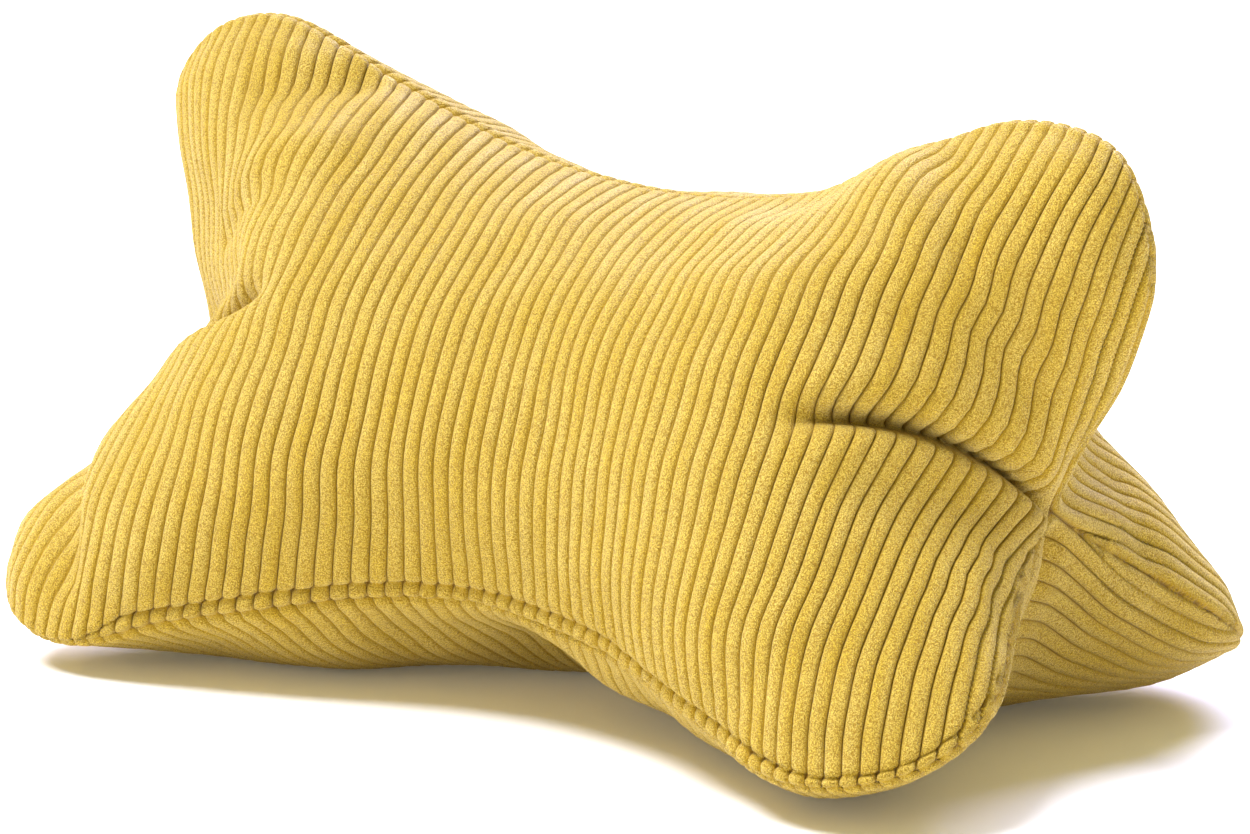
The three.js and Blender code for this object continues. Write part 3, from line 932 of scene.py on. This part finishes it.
def dressPanels(fine, base, triangles):
    shape = fine.ids.shape
    push, slideX, slideY, waleShare = (np.zeros(shape) for _ in range(4))
    distance = np.broadcast_to(fine.distance, shape[1:])
    inside = ease(distance / 0.02)
    for panel in range(3):
        x, y = fine.x[panel], fine.y[panel]
        ending, seamPush = plainSeam(panel, x, distance)
        gaps = np.zeros(x.shape)
        for side in (0, 1):
            seam = panel if side == 0 else (panel + 2) % 3
            if seam == cordSet["closingSeam"]:
                share = ease(np.abs(y[:, side]) / 0.016)
                closing = closingSeam(panel, x[:, side], distance[:, side])
                ending[:, side] += (closing[0] - ending[:, side]) * share
                seamPush[:, side] += (closing[1] - seamPush[:, side]) * share
                slideX[panel][:, side] += closing[2] * share
                gaps[:, side] = closing[3] * share
        crest = waleCrest(x, ending)
        groove = cordSet["groove"] * (1 + gaps)
        push[panel] = cordSet["crest"] * crest - groove * (1 - crest) + seamPush
        push[panel] += unevenness(x, y, 10 + panel) * inside
        slideX[panel] += unevenness(y * 1.4, x * 0.35, 30 + panel) * cordSet["wander"] * inside
        waleShare[panel] = crest
        for fold in foldSet:
            if fold["panel"] == panel:
                inward, across, sway = foldShape(fold, x, y)
                push[panel] += inward
                slideY[panel] += across * (0.7 + 0.5 * crest)
                slideX[panel] += sway
        for on, *dent in dentSet:
            if on == panel:
                push[panel] -= dentShape(*dent, x, y)
        for on, at, reach, far, often in waverSet:
            if on == panel:
                gap = np.hypot(x - at[0], y - at[1])
                turn = 2 * math.pi * (y / often + x / 0.09)
                slideX[panel] += far * hump(gap, reach) * np.sin(turn) * inside
    normal, alongX, alongY = directions(fine, base, triangles)
    ids = fine.ids.reshape(-1)
    moved = base[ids] + push.reshape(-1)[:, None] * normal
    moved += slideX.reshape(-1)[:, None] * alongX + slideY.reshape(-1)[:, None] * alongY
    count = np.bincount(ids, minlength=fine.size)
    place = np.stack([np.bincount(ids, moved[:, axis], fine.size) / count for axis in range(3)], 1)
    wale = np.bincount(ids, waleShare.reshape(-1), fine.size) / count
    return place, wale


def makePillow():
    fine = fineMesh()
    base = pressIntoShape(fine, fine.read(mid, midPlace))
    faces = fine.allFaces()
    place, wale = dressPanels(fine, base, asTriangles(faces))
    low, high = place.min(0), place.max(0)
    place[:, 2] -= low[2] + restSet["sunk"]
    place[:, 2] = np.maximum(place[:, 2], restSet["low"])
    place[:, :2] -= (low[:2] + high[:2]) / 2
    ids = fine.ids.reshape(-1)
    x, y = fine.x.reshape(-1), fine.y.reshape(-1)
    # the map shows the flat panels one above the other
    y += np.arange(ids.size) // (ids.size // 3) * cut["width"] * 1.2
    faceIds, uvs = [], []
    for face in faces:
        faceIds.append([int(ids[k]) for k in face])
        uvs.extend((x[k], y[k]) for k in face)
    mesh = bpy.data.meshes.new("pillowCloth")
    mesh.from_pydata([tuple(p) for p in place], [], faceIds)
    layer = mesh.uv_layers.new(name="cutPanels")
    layer.data.foreach_set("uv", np.array(uvs, np.float32).reshape(-1))
    # the wale crest share, which is also the mask for the painted shade down the wales' sides
    attribute = mesh.attributes.new("wale", "FLOAT", "POINT")
    attribute.data.foreach_set("value", wale.astype(np.float32))
    mesh.shade_smooth()
    mesh.update()
    pillow = bpy.data.objects.new("pillowCloth", mesh)
    bpy.context.scene.collection.objects.link(pillow)
    return pillow


pillow = makePillow()
print("pillow:", len(pillow.data.vertices), "points", len(pillow.data.polygons), "faces")


# cord: short pile on wide wales
cordLook = {
    # painted shade: the groove and flank colours are darker and more saturated than the cloth, standing
    # in for the shade down the wales' sides
    "groove": (0.24, 0.120, 0.0005, 1),
    "flank": (0.50, 0.300, 0.002, 1),
    "light": (0.785, 0.580, 0.094, 1),
    "dark": (0.71, 0.488, 0.031, 1),
    "speck": (0.34, 0.195, 0.002, 1),
    "curls": 1850,  # curls of pile for each metre
    "kinks": 1000,
    "kinkReach": (0.0008, 0.0008, 0.0008),
    "pits": 3200,
    "streaks": (140, 22, 1),  # across the wales and along them
    "patches": 26,
    "roughness": (0.74, 0.58),
    "bump": 1.0,
    "bumpHeight": 0.0006,
    "shader": {
        "Sheen Weight": 0.22,
        "Sheen Roughness": 0.32,
        "Sheen Tint": (1.0, 0.94, 0.62, 1),
        "Specular IOR Level": 0.35,
    },
}


def addNode(tree, kind, inputs=None, **values):
    # an input takes a value, or another node's output
    node = tree.nodes.new(kind)
    for name, value in values.items():
        setattr(node, name, value)
    for name, value in (inputs or {}).items():
        if isinstance(value, bpy.types.NodeSocket):
            tree.links.new(value, node.inputs[name])
        else:
            node.inputs[name].default_value = value
    return node


def addRange(tree, value, before, after):
    inputs = {"Value": value}
    inputs["From Min"], inputs["From Max"] = before
    inputs["To Min"], inputs["To Max"] = after
    return addNode(tree, "ShaderNodeMapRange", inputs).outputs["Result"]


def addNoise(tree, vector, scale, detail):
    inputs = {"Vector": vector, "Scale": scale, "Detail": detail}
    return addNode(tree, "ShaderNodeTexNoise", inputs).outputs


def addMath(tree, operation, *values):
    return addNode(tree, "ShaderNodeMath", dict(enumerate(values)), operation=operation).outputs["Value"]


def addMix(tree, share, a, b):
    node = addNode(tree, "ShaderNodeMix", data_type="RGBA", inputs={"Factor": share, "A": a, "B": b})
    return node.outputs["Result"]


def cordMaterial():
    material = bpy.data.materials.new("mustardCord")
    material.use_nodes = True
    tree = material.node_tree
    shader = tree.nodes["Principled BSDF"]
    for name, value in cordLook["shader"].items():
        shader.inputs[name].default_value = value
    place = addNode(tree, "ShaderNodeTexCoord").outputs["Object"]
    flat = addNode(tree, "ShaderNodeUVMap", uv_map="cutPanels").outputs["UV"]
    wale = addNode(tree, "ShaderNodeAttribute", attribute_name="wale").outputs["Fac"]

    # the pile's short curls, one cell each and a little bent, with finer light and dark in them
    kinks = addNoise(tree, place, cordLook["kinks"], 0)["Color"]
    kinked = addNode(tree, "ShaderNodeVectorMath", {0: kinks, 1: cordLook["kinkReach"], 2: place},
                     operation="MULTIPLY_ADD").outputs["Vector"]
    curls = addNode(tree, "ShaderNodeTexVoronoi", {"Vector": kinked, "Scale": cordLook["curls"]})
    curls = curls.outputs["Distance"]
    pits = addNoise(tree, place, cordLook["pits"], 1)["Fac"]
    # worn and brushed streaks along the wales, and brushed patches
    squeezed = addNode(tree, "ShaderNodeMapping", {"Vector": flat, "Scale": cordLook["streaks"]})
    streaks = addNoise(tree, squeezed.outputs["Vector"], 1, 2)["Fac"]
    patches = addNoise(tree, place, cordLook["patches"], 3)["Fac"]

    brushed = addMath(tree, "MULTIPLY_ADD", streaks, 0.6, addMath(tree, "MULTIPLY", patches, 0.4))
    brushed = addRange(tree, brushed, (0.35, 0.62), (0, 1))
    cloth = addMix(tree, brushed, cordLook["dark"], cordLook["light"])
    tops = addRange(tree, curls, (0.26, 0.76), (1, 0))
    grain = addMath(tree, "MULTIPLY", tops, addRange(tree, pits, (0.35, 0.55), (0.32, 1)))
    piled = addMix(tree, grain, cordLook["speck"], cloth)
    # painted shade: darker, more saturated colour down the wales' sides and in the grooves, where shade
    # falls
    sides = addMix(tree, addRange(tree, wale, (0, 0.42), (0, 1)), cordLook["groove"], cordLook["flank"])
    whole = addMix(tree, addRange(tree, wale, (0.36, 0.86), (0, 1)), sides, piled)
    tree.links.new(whole, shader.inputs["Base Color"])
    roughness = addRange(tree, streaks, (0.3, 0.7), cordLook["roughness"])
    tree.links.new(roughness, shader.inputs["Roughness"])
    bump = {"Strength": cordLook["bump"], "Distance": cordLook["bumpHeight"]}
    bump["Height"] = addMath(tree, "SUBTRACT", pits, curls)
    tree.links.new(addNode(tree, "ShaderNodeBump", bump).outputs["Normal"], shader.inputs["Normal"])
    return material


pillow.data.materials.append(cordMaterial())
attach(pillow, "root")
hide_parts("pillow")

# floor and light
stageSet = {
    "floor": (0.97, 0.95, 0.84, 1),
    "floorGlow": 0.06,  # a light table's, keeps the shadow narrow
    "world": 0.50,
    "worldTint": (1.0, 0.92, 0.56, 1),
    "key": {"angle": 34, "from": (-0.75, -0.30, 1.8), "strength": 6.8, "tint": (0.96, 1.0, 1.26)},
    "fill": {"angle": 50, "from": (-0.3, -1.4, 0.15), "strength": 1.0, "tint": (1.0, 0.98, 0.96)},
    "rim": {"angle": 40, "from": (-0.5, 1.3, 1.2), "strength": 4.0, "tint": (0.95, 1.0, 1.75)},
}


def addFloor():
    bpy.ops.mesh.primitive_plane_add(size=12, location=(0, 0, 0))
    floor = bpy.context.object
    floor.name = "floor"
    material = bpy.data.materials.new("paleFloor")
    material.use_nodes = True
    shader = material.node_tree.nodes["Principled BSDF"]
    shader.inputs["Base Color"].default_value = stageSet["floor"]
    shader.inputs["Roughness"].default_value = 0.8
    shader.inputs["Emission Color"].default_value = stageSet["floor"]
    shader.inputs["Emission Strength"].default_value = stageSet["floorGlow"]
    floor.data.materials.append(material)


def addLamp(name, angle, strength, tint, **place):
    # a wide, far lamp lights the floor as evenly as the pillow
    data = bpy.data.lights.new(name, "SUN")
    data.angle = math.radians(angle)
    data.energy = strength
    data.color = tint
    lamp = bpy.data.objects.new(name, data)
    bpy.context.scene.collection.objects.link(lamp)
    lamp.location = place["from"]
    lamp.rotation_euler = (-Vector(place["from"])).to_track_quat("-Z", "Y").to_euler()


def addWorld():
    world = bpy.data.worlds.new("softRoom")
    world.use_nodes = True
    background = world.node_tree.nodes["Background"]
    background.inputs["Color"].default_value = stageSet["worldTint"]
    background.inputs["Strength"].default_value = stageSet["world"]
    bpy.context.scene.world = world


addFloor()
for lampName in ("key", "fill", "rim"):
    addLamp(lampName, **stageSet[lampName])
addWorld()
bpy.context.scene.view_settings.view_transform = "Standard"
print("stage and light are set")
